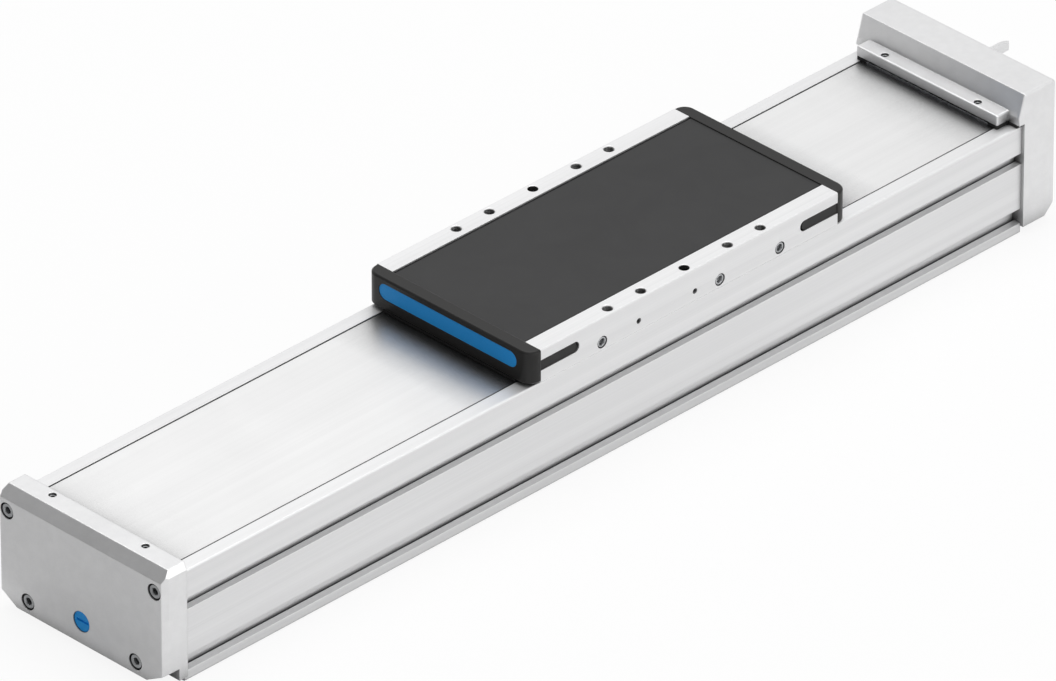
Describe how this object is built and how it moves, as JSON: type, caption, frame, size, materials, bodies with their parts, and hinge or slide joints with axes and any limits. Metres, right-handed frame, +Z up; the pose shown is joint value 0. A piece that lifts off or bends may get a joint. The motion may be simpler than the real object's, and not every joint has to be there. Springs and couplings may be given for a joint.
{
  "type": "ball screw linear axis",
  "caption": "Wide aluminium linear axis: a slide on rail guides is moved by a ball screw under a flush steel cover strip.",
  "frame": {"origin": "centre of the profile's underside", "axes": "+X along the travel towards the drive housing, +Y across, +Z up from the mounting face"},
  "size_m": [0.717, 0.1248, 0.0904],
  "materials": {
    "anodised": "natural anodised, satin",
    "cast": "machined and bead blasted, anodised",
    "strip_steel": "cold rolled stainless strip",
    "bright_steel": "ground steel",
    "screw_steel": "zinc plated",
    "black_plastic": "fine texture",
    "cover_grey": "matt dark grey",
    "blue_plastic": "satin",
    "rubber_black": "matt",
    "magnet": "matt"
  },
  "bodies": {
    "axis_body": {"profile": "anodised", "idle_end_cap": "cast", "sealing_plug": "blue_plastic", "idle_cap_screws": "screw_steel", "strip_clamp_bar_idle": "bright_steel", "strip_set_screws_idle": "screw_steel", "drive_housing": "cast", "drive_housing_screws": "screw_steel", "strip_clamp_bar_drive": "bright_steel", "strip_set_screws_drive": "screw_steel", "strip_end_seal": "rubber_black", "bearing_cover": "cast", "bearing_cover_screws": "screw_steel", "guide_rail_left": "bright_steel", "guide_rail_right": "bright_steel", "guide_rail_screws": "screw_steel", "magnet_strips": "magnet", "cover_strip": "strip_steel", "buffers_idle_end": "rubber_black", "buffers_drive_end": "rubber_black", "fixed_bearing_outer_rings": "bright_steel", "floating_bearing_outer_ring": "bright_steel"},
    "screw": {"ball_screw": "bright_steel", "fixed_bearing_inner_rings": "bright_steel", "floating_bearing_inner_ring": "bright_steel", "bearing_spacer": "bright_steel", "lock_nut": "bright_steel"},
    "slide": {"slide_table": "anodised", "slide_cover_plate": "cover_grey", "slide_table_screws": "screw_steel", "grease_nipples": "bright_steel", "carrier": "anodised", "sensor_magnet": "magnet", "carriage_end_plates": "black_plastic", "carriage_screws": "screw_steel", "ball_nut": "bright_steel", "nut_wipers": "black_plastic", "nut_screws": "screw_steel", "slide_end_cap_front": "black_plastic", "slide_end_cap_rear": "black_plastic", "end_cap_inlay_front": "blue_plastic", "end_cap_inlay_rear": "blue_plastic", "strip_wiper_front": "rubber_black", "strip_wiper_rear": "rubber_black", "strip_guide_front": "black_plastic", "strip_guide_rear": "black_plastic", "carriage_front_left": "bright_steel", "carriage_front_right": "bright_steel", "carriage_rear_left": "bright_steel", "carriage_rear_right": "bright_steel"}
  },
  "joints": [
    {"name": "slide_travel", "type": "slide", "parent": "axis_body", "child": "slide", "axis": [1, 0, 0], "range_m": [-0.25, 0.122], "deforming": ["cover_strip"]},
    {"name": "screw_spin", "type": "hinge", "parent": "axis_body", "child": "screw", "pos_m": [0, 0, 0.045], "axis": [1, 0, 0], "continuous": true}
  ],
  "couplings": [
    {"joint": "screw_spin", "follows": "slide_travel", "rad_per_m": -314.16}
  ]
}
